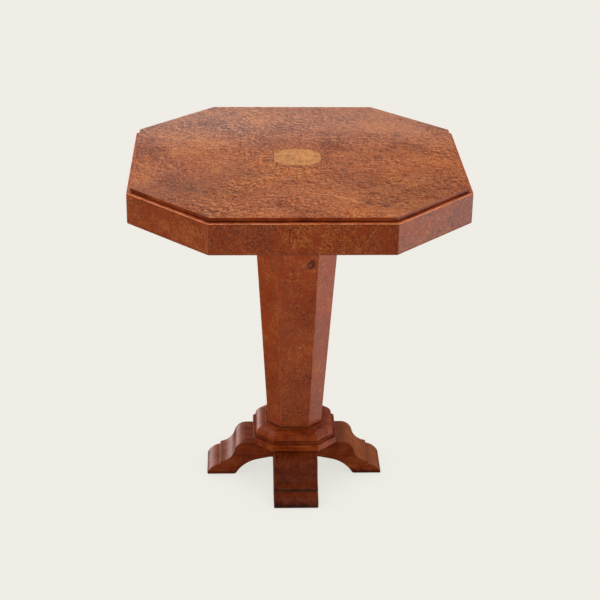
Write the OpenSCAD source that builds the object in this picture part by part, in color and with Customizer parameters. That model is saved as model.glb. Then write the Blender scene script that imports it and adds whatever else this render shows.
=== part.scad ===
// Tilt-top table: a square top with canted corners on a tapered column, a moulded
// collar and four arched feet.
// Millimetres, +Z up, floor at z = 0, front towards -Y, column axis on the Z axis.
// The top turns about an X axis on two iron pins that stand in the head block.

/* [Overall] */
// height of the table top above the floor
table_h = 720; // [700:5:760]
// width of the top board, flat to flat
top_w = 660; // [640:5:680]
// leg of each corner cant as a share of the top board's width
top_cant_share = 0.235; // [0.215:0.005:0.250]

/* [Top] */
// thickness of the veneer on the top board
top_veneer_t = 0.8; // [0.6:0.1:1.2]
// thickness of the top board under its veneer
board_t = 19.2; // [18:0.4:22]
// height of the board's edge above the apron's ledge
step_h = 9.7; // [8:0.1:12]
// depth of the shadow groove at the foot of the board's edge
quirk_d = 1.5; // [0.5:0.1:2.5]
// height of the shadow groove at the foot of the board's edge
quirk_h = 2; // [1:0.1:3]
// width of the inlaid medallion, flat to flat
medallion_w = 97; // [80:1:120]

/* [Apron] */
// height of the apron's face
apron_h = 64.6; // [60:0.2:68]
// width of the ledge that shows around the top board
ledge_w = 8; // [6:0.5:10]
// thickness of the apron rails under the board
rail_t = 24; // [20:1:28]
// thickness of the veneer on the apron and the column
face_veneer_t = 1; // [0.8:0.1:1.4]
// length of a corner glue block along each rail
glue_block_l = 42; // [30:1:50]
// height of a corner glue block
glue_block_h = 44; // [30:1:50]

/* [Tilting gear] */
// distance of the pivot axis in front of the column's axis
pivot_y = 120; // [116:1:126]
// distance of the pivot axis below the top board
pivot_drop = 25; // [24:0.5:26]
// gap between the head block and the top board
rest_gap = 0.5; // [0.4:0.1:1]
// radius of the pivot pins
pin_r = 6; // [5:0.5:7]
// radial running clearance of the pins in the bearers
pin_clearance = 0.05; // [0.03:0.01:0.09]
// width of the head block
block_w = 200; // [190:2:210]
// distance from the column's axis to the head block's back
block_back = 100; // [98:1:102]
// height of the head block
block_h = 48.5; // [47:0.5:50]
// width of each bearer
bearer_w = 30; // [26:1:34]
// height of each bearer
bearer_h = 48; // [44:1:50]
// length of each bearer
bearer_l = 610; // [580:5:615]
// side gap between a bearer and the head block
bearer_gap = 1; // [0.6:0.1:2]

/* [Catch] */
// thickness of the brass plate that carries the bolt
catch_plate_t = 3; // [2.5:0.1:3.4]
// width of the bolt
bolt_w = 12; // [10:0.5:13]
// height of the bolt
bolt_h = 8.6; // [8:0.1:9]
// length of the bolt
bolt_l = 64; // [62:1:68]
// radius of the ball of the bolt's knob
knob_r = 8; // [6:0.5:9]

/* [Column] */
// half-width of the column at its foot
column_foot_h = 57.6; // [54:0.2:60]
// half-width of the column at its head
column_head_h = 91.3; // [86:0.1:92]
// leg of each column cant as a share of the column's width
column_cant_share = 0.24; // [0.22:0.01:0.26]
// thickness of the boards that the column is built from
column_board_t = 30; // [28:1:32]
// height of the shadow line that the veneer leaves at the column's foot
column_gap = 1.2; // [0.6:0.1:2]
// radius of the iron tie rod
rod_r = 5; // [4:0.5:6]

/* [Collar] */
// half-width of the collar's lower band
band_half = 90; // [86:1:94]
// leg of each cant of the collar's lower band
band_cant = 40; // [36:1:44]
// height of the collar's lower band
band_h = 15; // [12:1:18]
// set-back of the moulding from the band
band_ledge = 6; // [4:0.5:8]
// height of the upright strip under the ovolo
strip_h = 4; // [3:0.5:5]
// radius of the ovolo
ovolo_r = 20.5; // [18:0.5:22]
// height of the fillet on top of the ovolo
fillet_h = 3; // [2:0.5:4]

/* [Feet] */
// width of each foot rail
foot_w = 94.6; // [90:0.2:100]
// height of the foot rails under the collar
foot_h = 80; // [78:1:82]
// reach of the flat shoulder of a foot
shoulder_x = 105; // [103:1:108]
// radius of the round below the shoulder
shoulder_r = 26; // [25:0.5:27]
// radius of the hollow between the shoulder and the toe
hollow_r = 37; // [36:0.5:38]
// rise of the hollow's centre above the round's centre, in degrees
hollow_rise = 12.6; // [12:0.1:13]
// reach of the toe where it steps down from the hollow
toe_step_x = 162.5; // [161:0.5:164]
// radius of the toe's nose
nose_r = 35.8; // [35:0.1:36.5]
// reach of the centre of the toe's nose
nose_x = 157.9; // [157:0.1:159]
// depth of the centre of the toe's nose below the floor
nose_drop = 11; // [10.5:0.1:11.5]
// radius of the arch under a foot
arch_r = 70.6; // [69:0.2:72]
// reach of the centre of the arch
arch_x = 66; // [65:0.5:67]
// depth of the centre of the arch below the floor
arch_drop = 32.7; // [32:0.1:33.5]
// height of the underside of the feet at the crossing
crown_z = 42; // [41:0.5:43]
// slope of the underside between the arch and the crossing, in degrees
crown_slope = 12; // [10:1:15]

/* [Hidden] */
// levels, from the top down
veneer_z = table_h - top_veneer_t;
board_z = veneer_z - board_t;
ledge_z = table_h - step_h;
apron_z = ledge_z - apron_h;
pivot_z = board_z - pivot_drop;
block_top_z = board_z - rest_gap;
block_z = block_top_z - block_h;
bearer_z = board_z - bearer_h;
band_top_z = foot_h + band_h;
ovolo_z = band_top_z + strip_h;
collar_top_z = ovolo_z + ovolo_r + fillet_h;
lap_z = (foot_h + crown_z) / 2;

// plan sizes of the top
board_half = top_w / 2;
board_cant = top_w * top_cant_share;
inset_cut = 2 - sqrt(2);
apron_half = board_half + ledge_w;
apron_cant = board_cant + ledge_w * inset_cut;
rail_half = apron_half - face_veneer_t;
rail_cant = apron_cant - face_veneer_t * inset_cut;
rail_in_half = rail_half - rail_t;
rail_in_cant = rail_cant - rail_t * inset_cut;
medallion_half = medallion_w / 2;
medallion_cant = medallion_w * top_cant_share;

// column sizes: half-widths of its body, of its boards and of the space inside
core_foot_h = column_foot_h - face_veneer_t;
core_head_h = column_head_h - face_veneer_t;
bore_foot_h = core_foot_h - column_board_t;
bore_head_h = core_head_h - column_board_t;
column_foot_d = diagonal_half(column_foot_h, 2 * column_foot_h * column_cant_share);
column_head_d = diagonal_half(column_head_h, 2 * column_head_h * column_cant_share);
plug_l = 46;
plug_gap = 0.1;
foot_tenon_w = 44;
foot_tenon_z = 88;
head_tenon_w = 60;
head_tenon_l = 20;

// bearers, pins and their screws
bearer_x = block_w / 2 + bearer_gap;
bearer_nose = 20;
bearer_end_h = 22;
pin_in_x = 62;
pin_head_t = 3;
pin_head_r = 9;
pin_head_gap = 0.5;
screw_r = 2.5;
screw_head_r = 4.8;
screw_head_t = 3;
bearer_screw_l = 45;
bearer_screw_sink = 16;
bearer_screw_ys = [-230, 20, 230];
hole_gap = 0.02;
nose_round_r = pivot_drop - rest_gap;

// catch and keeper
bolt_top_z = board_z - catch_plate_t - 0.4;
bolt_z = bolt_top_z - bolt_h;
bolt_tip_y = block_back + 2.5;
bolt_play = 0.4;
catch_y0 = block_back + 3;
catch_y1 = catch_y0 + 66;
catch_half = 22;
saddle_l = 9;
saddle_wall = 3.6;
saddle_floor = 2.4;
saddle_ys = [catch_y0 + 4, catch_y1 - 4 - saddle_l];
knob_y = (catch_y0 + catch_y1) / 2;
knob_neck_r = 4;
knob_neck_l = 6;
knob_sink = 4;
small_screw_r = 1.7;
small_head_r = 3.3;
small_head_t = 1.8;
small_screw_l = 13;
catch_screw_x = 16;
catch_screw_ys = [catch_y0 + 8, catch_y1 - 8];
keeper_t = 2;
keeper_half = 18;
keeper_z = block_top_z - 20;
keeper_play = 0.6;
keeper_screw_x = 12.5;
keeper_screw_z = bolt_z + bolt_h / 2;
mortise_d = 12;

// tie rod
rod_z0 = crown_z - 15;
rod_z1 = block_top_z - 3.5;
washer_r = 15;
washer_t = 2.5;
nut_r = 9.8;
nut_h = 9;
nut_bed_z = block_top_z - 18.5;
nut_pocket_r = 17;
rod_gap = 0.5;

curve_lap = 0.2;
eps = 1;
reach = 400;
$fn = 96;

burl = "sienna";
mahogany = "saddlebrown";
pine = "burlywood";
beech = "tan";
brass = "goldenrod";
iron = "dimgray";

// half-distance between two opposite cants of a canted square
function diagonal_half(half, cant) = (2 * half - cant) / sqrt(2);

// plan outline of a square whose corners are cut off
module canted(half, cant) {
  s = half - cant;
  polygon([
    [-s, -half], [s, -half], [half, -s], [half, s],
    [s, half], [-s, half], [-half, s], [-half, -s]
  ]);
}

// plan of one mitred strip of a canted ring: even sides are flats, odd sides cants
module side_plan(side, half, cant, width) {
  s = half - cant;
  half_in = half - width;
  s_in = half_in - cant + width * inset_cut;
  rotate(90 * floor(side / 2))
    polygon(side % 2 == 0
      ? [[-s, -half], [s, -half], [s_in, -half_in], [-s_in, -half_in]]
      : [[s, -half], [half, -s], [half_in, -s_in], [s_in, -half_in]]);
}

// an upright 2D shape drawn as (distance, height), swept level across that distance
module swept(angle, length) {
  rotate([90, 0, angle])
    linear_extrude(length, center = true)
      children();
}

// an upright trapezoid between two levels
module trapezoid(z0, half0, z1, half1) {
  polygon([[-half0, z0], [half0, z0], [half1, z1], [-half1, z1]]);
}

// a tapering square body
module tapered_square(z0, half0, z1, half1) {
  intersection() {
    swept(0, reach) trapezoid(z0, half0, z1, half1);
    swept(90, reach) trapezoid(z0, half0, z1, half1);
  }
}

// a tapering square body with canted corners; d is half the distance between cants
module tapered_canted(z0, half0, d0, z1, half1, d1) {
  intersection() {
    tapered_square(z0, half0, z1, half1);
    swept(45, reach) trapezoid(z0, d0, z1, d1);
    swept(135, reach) trapezoid(z0, d0, z1, d1);
  }
}

// half-width of the space inside the column at a level
function bore_half(z) =
  bore_foot_h + (bore_head_h - bore_foot_h) * (z - collar_top_z) / (block_z - collar_top_z);

// a countersunk screw standing on its head, tip up
module screw(r, length, head_r, head_t) {
  cylinder(r = r, h = length);
  cylinder(r1 = head_r, r2 = r, h = head_t);
}

module at_bearer_screws() {
  for (side = [-1, 1])
    for (y = bearer_screw_ys)
      translate([side * (bearer_x + bearer_w / 2), y, bearer_z + bearer_screw_sink])
        children();
}

module at_catch_screws() {
  for (side = [-1, 1])
    for (y = catch_screw_ys)
      translate([side * catch_screw_x, y, board_z - catch_plate_t])
        children();
}

module at_keeper_screws() {
  for (side = [-1, 1])
    translate([side * keeper_screw_x, block_back, keeper_screw_z])
      rotate([90, 0, 0])
        children();
}

// the board that carries the veneer, with a shadow groove above the apron's ledge
module top_board() {
  color(pine)
    difference() {
      union() {
        translate([0, 0, board_z])
          linear_extrude(ledge_z - board_z)
            canted(board_half, board_cant);
        translate([0, 0, ledge_z])
          linear_extrude(quirk_h)
            canted(board_half - quirk_d, board_cant - quirk_d * inset_cut);
        translate([0, 0, ledge_z + quirk_h])
          linear_extrude(veneer_z - ledge_z - quirk_h)
            canted(board_half, board_cant);
      }
      at_bearer_screws() cylinder(r = screw_r + hole_gap, h = bearer_screw_l + hole_gap);
      at_catch_screws() cylinder(r = small_screw_r + hole_gap, h = small_screw_l + hole_gap);
    }
}

module top_veneer() {
  color(burl)
    translate([0, 0, veneer_z])
      linear_extrude(top_veneer_t)
        difference() {
          canted(board_half, board_cant);
          canted(medallion_half, medallion_cant);
        }
}

module medallion_inlay() {
  color("khaki")
    translate([0, 0, veneer_z])
      linear_extrude(top_veneer_t)
        canted(medallion_half, medallion_cant);
}

// a rebated rail: its lip stands outside the board and shows as the ledge
module apron_rail(side) {
  color(mahogany)
    union() {
      translate([0, 0, apron_z])
        linear_extrude(board_z - apron_z)
          side_plan(side, rail_half, rail_cant, rail_t);
      translate([0, 0, board_z])
        linear_extrude(ledge_z - board_z)
          side_plan(side, rail_half, rail_cant, rail_half - board_half);
    }
}

module apron_veneer(side) {
  color(burl)
    translate([0, 0, apron_z])
      linear_extrude(apron_h)
        side_plan(side, apron_half, apron_cant, face_veneer_t);
}

// triangular blocks rubbed into the eight inner corners of the apron
module corner_glue_blocks() {
  s = rail_in_half - rail_in_cant;
  d = glue_block_l / sqrt(2);
  color(pine)
    for (turn = [0 : 3])
      rotate(90 * turn)
        translate([0, 0, board_z - glue_block_h])
          linear_extrude(glue_block_h) {
            polygon([
              [s, -rail_in_half], [s + d, -rail_in_half + d], [s - glue_block_l, -rail_in_half]
            ]);
            polygon([
              [rail_in_half, -s], [rail_in_half, -s + glue_block_l], [rail_in_half - d, -s - d]
            ]);
          }
}

// a bearer screwed under the board beside the head block, bored for a pivot pin
module bearer(side) {
  half_l = bearer_l / 2;
  color(beech)
    difference() {
      translate([side * (bearer_x + bearer_w / 2), 0, 0])
        swept(90, bearer_w)
          polygon([
            [-half_l, board_z], [-half_l, board_z - bearer_end_h],
            [-half_l + bearer_nose, bearer_z], [half_l - bearer_nose, bearer_z],
            [half_l, board_z - bearer_end_h], [half_l, board_z]
          ]);
      translate([0, -pivot_y, pivot_z])
        rotate([0, 90, 0])
          cylinder(r = pin_r + pin_clearance, h = reach, center = true);
      at_bearer_screws() {
        cylinder(r = screw_r + hole_gap, h = bearer_screw_l);
        cylinder(r1 = screw_head_r + hole_gap, r2 = screw_r + hole_gap, h = screw_head_t);
        translate([0, 0, -bearer_screw_sink - eps])
          cylinder(r = screw_head_r + hole_gap, h = bearer_screw_sink + eps);
      }
    }
}

module bearer_screws() {
  color(iron)
    at_bearer_screws() screw(screw_r, bearer_screw_l, screw_head_r, screw_head_t);
}

// brass plate under the board with two saddles that guide the bolt
module catch_plate() {
  cheek_x = bolt_w / 2 + bolt_play;
  saddle_z = bolt_z - bolt_play - saddle_floor;
  plate_z = board_z - catch_plate_t;
  color(brass)
    difference() {
      union() {
        translate([-catch_half, catch_y0, plate_z])
          cube([2 * catch_half, catch_y1 - catch_y0, catch_plate_t]);
        for (y = saddle_ys)
          translate([-cheek_x - saddle_wall, y, saddle_z])
            cube([2 * (cheek_x + saddle_wall), saddle_l, plate_z - saddle_z]);
      }
      translate([-cheek_x, catch_y0 - eps, bolt_z - bolt_play])
        cube([2 * cheek_x, catch_y1 - catch_y0 + 2 * eps, plate_z - bolt_z + bolt_play]);
      at_catch_screws()
        cylinder(r1 = small_head_r + hole_gap, r2 = small_screw_r + hole_gap, h = small_head_t);
      at_catch_screws()
        cylinder(r = small_screw_r + hole_gap, h = small_screw_l);
    }
}

module catch_bolt() {
  color(brass)
    difference() {
      translate([-bolt_w / 2, bolt_tip_y, bolt_z])
        cube([bolt_w, bolt_l, bolt_h]);
      translate([0, knob_y, bolt_z])
        cylinder(r = small_screw_r + hole_gap, h = knob_sink + hole_gap);
    }
}

module catch_knob() {
  color(brass)
    translate([0, knob_y, bolt_z])
      rotate([180, 0, 0])
        union() {
          translate([0, 0, -knob_sink])
            cylinder(r = small_screw_r, h = knob_sink + eps);
          cylinder(r = knob_neck_r, h = knob_neck_l + knob_r / 2);
          translate([0, 0, knob_neck_l + knob_r])
            sphere(r = knob_r);
        }
}

module catch_screws() {
  color(brass)
    at_catch_screws() screw(small_screw_r, small_screw_l, small_head_r, small_head_t);
}

// brass plate let into the back of the head block, pierced for the bolt
module keeper_plate() {
  color(brass)
    difference() {
      translate([-keeper_half, block_back - keeper_t, keeper_z])
        cube([2 * keeper_half, keeper_t, block_top_z - keeper_z]);
      keeper_hole(keeper_t);
      at_keeper_screws()
        cylinder(r1 = small_head_r + hole_gap, r2 = small_screw_r + hole_gap, h = small_head_t);
      at_keeper_screws()
        cylinder(r = small_screw_r + hole_gap, h = small_screw_l);
    }
}

module keeper_hole(depth) {
  translate([-bolt_w / 2 - keeper_play, block_back - depth, bolt_z - keeper_play])
    cube([bolt_w + 2 * keeper_play, depth + eps, bolt_h + 2 * keeper_play]);
}

module keeper_screws() {
  color(brass)
    at_keeper_screws() screw(small_screw_r, small_screw_l, small_head_r, small_head_t);
}

// block on the column: its front is rounded about the pivot so that the board clears it
module head_block() {
  color(beech)
    difference() {
      swept(90, block_w) {
        translate([-pivot_y, block_z])
          square([pivot_y + block_back, block_h]);
        translate([-pivot_y - nose_round_r, block_z])
          square([nose_round_r, pivot_z - block_z]);
        translate([-pivot_y, pivot_z])
          circle(r = nose_round_r);
      }
      for (side = [-1, 1])
        translate([side * (pin_in_x + reach / 2), -pivot_y, pivot_z])
          rotate([0, 90, 0])
            cylinder(r = pin_r + hole_gap, h = reach, center = true);
      translate([0, 0, block_z - eps])
        cylinder(r = rod_r + rod_gap, h = block_h + 2 * eps);
      translate([0, 0, nut_bed_z])
        cylinder(r = nut_pocket_r, h = block_top_z - nut_bed_z + eps);
      translate([-head_tenon_w / 2, -head_tenon_w / 2, block_z - eps])
        cube([head_tenon_w, head_tenon_w, head_tenon_l + eps]);
      translate([-keeper_half, block_back - keeper_t, keeper_z])
        cube([2 * keeper_half, keeper_t + eps, block_top_z - keeper_z + eps]);
      keeper_hole(keeper_t + mortise_d);
      at_keeper_screws()
        cylinder(r = small_screw_r + hole_gap, h = small_screw_l + hole_gap);
    }
}

// a headed iron pin, fast in the block and running in the bearer
module pivot_pin(side) {
  head_x = bearer_x + bearer_w + pin_head_gap;
  color(iron)
    translate([0, -pivot_y, pivot_z])
      rotate([0, side * 90, 0])
        union() {
          translate([0, 0, pin_in_x])
            cylinder(r = pin_r, h = head_x - pin_in_x);
          translate([0, 0, head_x])
            cylinder(r = pin_head_r, h = pin_head_t);
        }
}

module column_core() {
  tapered_canted(
    collar_top_z, core_foot_h, column_foot_d - face_veneer_t,
    block_z, core_head_h, column_head_d - face_veneer_t);
}

// the front or back board of the column, as wide as the column
module column_face_board(angle) {
  color(pine)
    rotate(angle)
      intersection() {
        column_core();
        swept(90, reach)
          polygon([
            [-bore_foot_h, collar_top_z], [-bore_head_h, block_z],
            [-reach, block_z], [-reach, collar_top_z]
          ]);
      }
}

// a side board of the column, standing between the front and back boards
module column_side_board(angle) {
  color(pine)
    rotate(angle)
      intersection() {
        column_core();
        swept(90, reach) trapezoid(collar_top_z, bore_foot_h, block_z, bore_head_h);
        swept(0, reach)
          polygon([
            [bore_foot_h, collar_top_z], [bore_head_h, block_z],
            [reach, block_z], [reach, collar_top_z]
          ]);
      }
}

// a sheet of veneer on one facet of the column, cut off just above the collar
module column_veneer(side) {
  s = 1 - 2 * column_cant_share;
  foot = side % 2 == 0 ? column_foot_h : column_foot_d;
  head = side % 2 == 0 ? column_head_h : column_head_d;
  slope = (head - foot) / (block_z - collar_top_z);
  low = foot - slope * plug_l;
  high = head + slope * plug_l;
  color(burl)
    intersection() {
      rotate(45 * side)
        swept(90, reach)
          polygon([
            [-low, collar_top_z - plug_l], [-high, block_z + plug_l],
            [face_veneer_t - high, block_z + plug_l],
            [face_veneer_t - low, collar_top_z - plug_l]
          ]);
      rotate(90 * floor(side / 2))
        translate([0, 0, collar_top_z + column_gap])
          linear_extrude(block_z - collar_top_z - column_gap)
            polygon(side % 2 == 0
              ? [[0, 0], [-s * reach, -reach], [s * reach, -reach]]
              : [[0, 0], [s * reach, -reach], [reach, -s * reach]]);
    }
}

// plugs close the column's two ends and key it to the head block and the collar
module column_head_plug() {
  z = block_z - plug_l;
  color(beech)
    difference() {
      union() {
        tapered_square(z, bore_half(z) - plug_gap, block_z, bore_head_h - plug_gap);
        translate([-head_tenon_w / 2, -head_tenon_w / 2, block_z])
          cube([head_tenon_w, head_tenon_w, head_tenon_l]);
      }
      translate([0, 0, z - eps])
        cylinder(r = rod_r + rod_gap, h = plug_l + head_tenon_l + 2 * eps);
    }
}

module column_foot_plug() {
  z = collar_top_z + plug_l;
  color(beech)
    difference() {
      union() {
        tapered_square(collar_top_z, bore_foot_h - plug_gap, z, bore_half(z) - plug_gap);
        translate([-foot_tenon_w / 2, -foot_tenon_w / 2, foot_tenon_z])
          cube([foot_tenon_w, foot_tenon_w, collar_top_z - foot_tenon_z]);
      }
      translate([0, 0, foot_tenon_z - eps])
        cylinder(r = rod_r + rod_gap, h = z - foot_tenon_z + 2 * eps);
    }
}

module tie_rod() {
  color(iron)
    translate([0, 0, rod_z0])
      cylinder(r = rod_r, h = rod_z1 - rod_z0);
}

module tie_rod_nuts() {
  color(iron)
    for (z = [crown_z - washer_t - nut_h, nut_bed_z + washer_t])
      translate([0, 0, z])
        difference() {
          cylinder(r = nut_r, h = nut_h, $fn = 6);
          translate([0, 0, -eps])
            cylinder(r = rod_r + hole_gap, h = nut_h + 2 * eps);
        }
}

module tie_rod_washers() {
  color(iron)
    for (z = [crown_z - washer_t, nut_bed_z])
      translate([0, 0, z])
        difference() {
          cylinder(r = washer_r, h = washer_t);
          translate([0, 0, -eps])
            cylinder(r = rod_r + rod_gap, h = washer_t + 2 * eps);
        }
}

// profile of the moulded block: strip, ovolo and fillet; d is its half-width
module collar_profile(d) {
  round_x = d - ovolo_r;
  fillet_half = round_x - 0.5;
  translate([-d, band_top_z])
    square([2 * d, strip_h]);
  intersection() {
    union() {
      for (side = [-1, 1])
        translate([side * round_x, ovolo_z])
          circle(r = ovolo_r);
      translate([-round_x, ovolo_z])
        square([2 * round_x, ovolo_r]);
    }
    translate([-d, band_top_z])
      square([2 * d, strip_h + ovolo_r]);
  }
  translate([-fillet_half, band_top_z])
    square([2 * fillet_half, collar_top_z - band_top_z]);
}

module collar_moulding() {
  half = band_half - band_ledge;
  d = diagonal_half(half, band_cant - band_ledge * inset_cut);
  color(mahogany)
    difference() {
      intersection() {
        swept(0, reach) collar_profile(half);
        swept(90, reach) collar_profile(half);
        swept(45, reach) collar_profile(d);
        swept(135, reach) collar_profile(d);
      }
      translate([-foot_tenon_w / 2, -foot_tenon_w / 2, band_top_z - eps])
        cube([foot_tenon_w, foot_tenon_w, collar_top_z - band_top_z + 2 * eps]);
    }
}

module collar_band() {
  color(mahogany)
    difference() {
      translate([0, 0, foot_h])
        linear_extrude(band_h)
          canted(band_half, band_cant);
      translate([-foot_tenon_w / 2, -foot_tenon_w / 2, foot_tenon_z])
        cube([foot_tenon_w, foot_tenon_w, band_h]);
      translate([0, 0, foot_h - eps])
        cylinder(r = rod_r + rod_gap, h = band_h);
    }
}

// side view of half a foot rail: shoulder, round, hollow, step, nose and arch.
// Neighbouring curves cross by a hair, so that none of them only touches another.
module foot_half_profile() {
  round_z = foot_h - shoulder_r;
  gap = shoulder_r + hollow_r - curve_lap;
  hollow_x = shoulder_x + gap * cos(hollow_rise);
  hollow_z = round_z + gap * sin(hollow_rise);
  step_z = round_z + (toe_step_x - shoulder_x) * tan(hollow_rise);
  bend_x = arch_x + (arch_r - curve_lap) * sin(crown_slope);
  bend_z = (arch_r - curve_lap) * cos(crown_slope) - arch_drop;
  crown_x = bend_x - (crown_z - bend_z) / tan(crown_slope);
  difference() {
    union() {
      square([shoulder_x, foot_h]);
      intersection() {
        translate([shoulder_x, round_z])
          circle(r = shoulder_r);
        polygon([
          [shoulder_x, round_z], [toe_step_x, step_z],
          [toe_step_x, foot_h + eps], [shoulder_x, foot_h + eps]
        ]);
      }
      polygon([
        [shoulder_x, 0], [toe_step_x, 0], [toe_step_x, step_z], [shoulder_x, round_z]
      ]);
      intersection() {
        translate([nose_x, -nose_drop])
          circle(r = nose_r);
        translate([toe_step_x, 0])
          square([nose_r, nose_r]);
      }
    }
    translate([hollow_x, hollow_z])
      circle(r = hollow_r);
    translate([arch_x, -arch_drop])
      circle(r = arch_r);
    polygon([
      [-eps, -eps], [bend_x, -eps], [bend_x, bend_z], [crown_x, crown_z], [-eps, crown_z]
    ]);
  }
}

module foot_rail(angle) {
  rotate(angle)
    swept(0, foot_w) {
      foot_half_profile();
      mirror([1, 0])
        foot_half_profile();
    }
}

// the two rails cross under the collar and are halved into each other
module foot_rail_front_back() {
  color(mahogany)
    difference() {
      foot_rail(90);
      translate([-foot_w / 2 - eps, -foot_w / 2, 0])
        cube([foot_w + 2 * eps, foot_w, lap_z]);
      cylinder(r = rod_r + rod_gap, h = foot_h + eps);
    }
}

module foot_rail_left_right() {
  color(mahogany)
    difference() {
      foot_rail(0);
      translate([-foot_w / 2, -foot_w / 2 - eps, lap_z])
        cube([foot_w, foot_w + 2 * eps, foot_h]);
      cylinder(r = rod_r + rod_gap, h = foot_h + eps);
    }
}

top_board();
top_veneer();
medallion_inlay();
apron_rail(0);  // apron_rail_front
apron_rail(1);  // apron_rail_front_right
apron_rail(2);  // apron_rail_right
apron_rail(3);  // apron_rail_back_right
apron_rail(4);  // apron_rail_back
apron_rail(5);  // apron_rail_back_left
apron_rail(6);  // apron_rail_left
apron_rail(7);  // apron_rail_front_left
apron_veneer(0);  // apron_veneer_front
apron_veneer(1);  // apron_veneer_front_right
apron_veneer(2);  // apron_veneer_right
apron_veneer(3);  // apron_veneer_back_right
apron_veneer(4);  // apron_veneer_back
apron_veneer(5);  // apron_veneer_back_left
apron_veneer(6);  // apron_veneer_left
apron_veneer(7);  // apron_veneer_front_left
corner_glue_blocks();
bearer(-1);  // bearer_left
bearer(1);  // bearer_right
bearer_screws();
catch_plate();
catch_bolt();
catch_knob();
catch_screws();
keeper_plate();
keeper_screws();
head_block();
pivot_pin(-1);  // pivot_pin_left
pivot_pin(1);  // pivot_pin_right
column_face_board(0);  // column_board_front
column_face_board(180);  // column_board_back
column_side_board(180);  // column_board_left
column_side_board(0);  // column_board_right
column_veneer(0);  // column_veneer_front
column_veneer(1);  // column_veneer_front_right
column_veneer(2);  // column_veneer_right
column_veneer(3);  // column_veneer_back_right
column_veneer(4);  // column_veneer_back
column_veneer(5);  // column_veneer_back_left
column_veneer(6);  // column_veneer_left
column_veneer(7);  // column_veneer_front_left
column_head_plug();
column_foot_plug();
tie_rod();
tie_rod_nuts();
tie_rod_washers();
collar_moulding();
collar_band();
foot_rail_front_back();
foot_rail_left_right();
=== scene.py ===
import math

import bmesh
import bpy
from mathutils import Matrix, Vector, noise


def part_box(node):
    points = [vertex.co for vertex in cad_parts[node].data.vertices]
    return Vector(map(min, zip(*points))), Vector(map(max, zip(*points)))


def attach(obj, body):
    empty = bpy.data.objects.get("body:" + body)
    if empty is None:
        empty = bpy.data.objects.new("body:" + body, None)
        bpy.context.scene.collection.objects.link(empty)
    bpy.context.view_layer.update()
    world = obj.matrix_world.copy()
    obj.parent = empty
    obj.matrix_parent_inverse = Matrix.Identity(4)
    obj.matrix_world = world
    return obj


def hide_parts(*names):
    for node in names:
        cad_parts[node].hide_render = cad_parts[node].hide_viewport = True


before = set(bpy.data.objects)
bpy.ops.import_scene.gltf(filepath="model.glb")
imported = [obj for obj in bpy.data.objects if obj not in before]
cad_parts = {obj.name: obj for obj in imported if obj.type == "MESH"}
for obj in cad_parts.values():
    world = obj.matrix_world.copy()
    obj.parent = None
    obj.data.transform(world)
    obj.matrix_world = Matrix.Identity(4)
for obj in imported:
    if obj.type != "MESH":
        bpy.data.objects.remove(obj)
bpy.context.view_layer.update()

# ---------------------------------------------------------------- sizes, in metres and degrees

MM = 0.001
MITRE_ANGLE = 22.5
# what a side's half-length and a corner's cut lose for each unit the outline moves in
MITRE = math.tan(math.radians(MITRE_ANGLE))
INSET_CUT = 2 - math.sqrt(2)
SIDES = ("front", "front_right", "right", "back_right", "back", "back_left", "left", "front_left")
SIDE_TURN = 45
SHARP = 32  # an edge that turns more than this has an arris

BOARD_LO, BOARD_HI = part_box("top_board")
VENEER_LO, VENEER_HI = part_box("top_veneer")
MEDAL_LO, MEDAL_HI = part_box("medallion_inlay")
APRON_LO, APRON_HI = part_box("apron_veneer_right")
RAIL_LO, RAIL_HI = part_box("apron_rail_right")
COLUMN_LO, COLUMN_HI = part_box("column_veneer_right")
BAND_LO, BAND_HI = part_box("collar_band")
COLLAR_LO, COLLAR_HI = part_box("collar_moulding")
FOOT_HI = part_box("foot_rail_left_right")[1]

# the top
TOP_CANT_SHARE = 0.235
BOARD_CANT = 2 * BOARD_HI.x * TOP_CANT_SHARE
BOARD_ROUND = 8 * MM
TOP_HOLLOWS = 0.28 * MM
MEDAL_CANT = 2 * MEDAL_HI.x * TOP_CANT_SHARE
MEDAL_ROUND = 1.2 * MM
MEDAL_GAP = 0.5 * MM
MEDAL_SUNK = 0.05 * MM
QUIRK_DEPTH = 1.5 * MM
QUIRK_HEIGHT = 2 * MM

# the apron
SHEET = 1 * MM
LEDGE = APRON_HI.x - BOARD_HI.x
APRON_CANT = BOARD_CANT + LEDGE * INSET_CUT
CREST_ROUND = 1.3 * MM
LOW_ROUND = 4.5 * MM
LOW_TURN = math.degrees(math.acos((LOW_ROUND - SHEET) / LOW_ROUND))
CORNER_ROUND = 5 * MM

# the column and its collar
COLUMN_CANT_SHARE = 0.24
COLUMN_FOOT = 57.6 * MM
COLUMN_HEAD = COLUMN_HI.x
COLUMN_FOOT_Z = COLLAR_HI.z
BAND_CANT = 40 * MM
BAND_ROUND = 1.5 * MM
COLLAR_ROUND = 1.2 * MM
OVOLO = 20.5 * MM
OVOLO_START = 10
STRIP_TOP = COLLAR_LO.z + 4 * MM
STRIP_QUIRK = 2.4 * MM
STRIP_QUIRK_TOP = STRIP_TOP + 1.6 * MM
FILLET_SET = 0.5 * MM

# the feet
SHOULDER_X, SHOULDER_R = 105 * MM, 26 * MM
HOLLOW_R, HOLLOW_RISE = 37 * MM, 12.6
TOE_STEP_X = 162.5 * MM
NOSE_X, NOSE_R, NOSE_DROP = 157.9 * MM, 35.8 * MM, 11 * MM
ARCH_X, ARCH_R, ARCH_DROP = 66 * MM, 70.6 * MM, 32.7 * MM
CROWN_Z, CROWN_SLOPE = 42 * MM, 12
TOE_ROUND, SOLE_ROUND = 2.8 * MM, 7 * MM
LAP_Z = (FOOT_HI.z + CROWN_Z) / 2
HALF_WIDTH = FOOT_HI.y
SWEEP_STEPS, ROUND_STEPS = 14, 6


# ---------------------------------------------------------------- outlines and skins

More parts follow.
